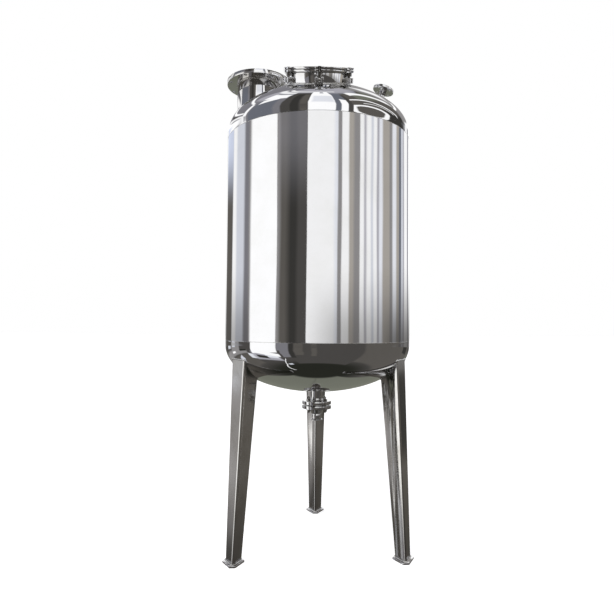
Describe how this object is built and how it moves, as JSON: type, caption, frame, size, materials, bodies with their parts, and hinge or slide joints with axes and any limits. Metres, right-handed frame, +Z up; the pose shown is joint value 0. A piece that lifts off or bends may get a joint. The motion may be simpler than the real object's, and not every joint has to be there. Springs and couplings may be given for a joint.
{
  "type": "vertical storage tank",
  "caption": "Vertical cylindrical stainless steel storage tank with dished ends on tapered triangular legs, with a leaning covered manway, open top nozzles and a flanged bottom outlet.",
  "frame": {"origin": "on the floor, on the centre line of the tank's shell", "axes": "+Z up along the shell's centre line; -Y towards the front, where the manway leans; -X towards the large open inlet nozzle"},
  "size_m": [1.009, 1.028, 2.5336],
  "materials": {
    "shell_plate": "fine polished stainless with faint rolled bands",
    "head_plate": "mirror polished stainless",
    "leg_plate": "mirror polished stainless with scuffs at the top",
    "fittings": "machined and polished stainless",
    "foot_plates": "ground stainless",
    "gaskets": "matt jointing sheet"
  },
  "bodies": {
    "root": {"shell": "shell_plate", "top_head": "head_plate", "bottom_head": "head_plate", "manway_neck": "fittings", "manway_flange": "fittings", "manway_gasket": "gaskets", "manway_cover": "fittings", "manway_lug_1": "fittings", "manway_lug_2": "fittings", "manway_lug_3": "fittings", "manway_lug_4": "fittings", "manway_lug_5": "fittings", "manway_lug_6": "fittings", "inlet_neck": "fittings", "inlet_flange": "fittings", "vent_neck": "fittings", "vent_flange": "fittings", "outlet_neck": "fittings", "outlet_flange": "fittings", "outlet_gasket": "gaskets", "outlet_companion_flange": "fittings", "outlet_stub": "fittings", "outlet_ferrule": "fittings", "leg_left": "leg_plate", "leg_right": "leg_plate", "leg_back": "leg_plate", "foot_plate_left": "foot_plates", "foot_plate_right": "foot_plates", "foot_plate_back": "foot_plates"}
  },
  "joints": []
}
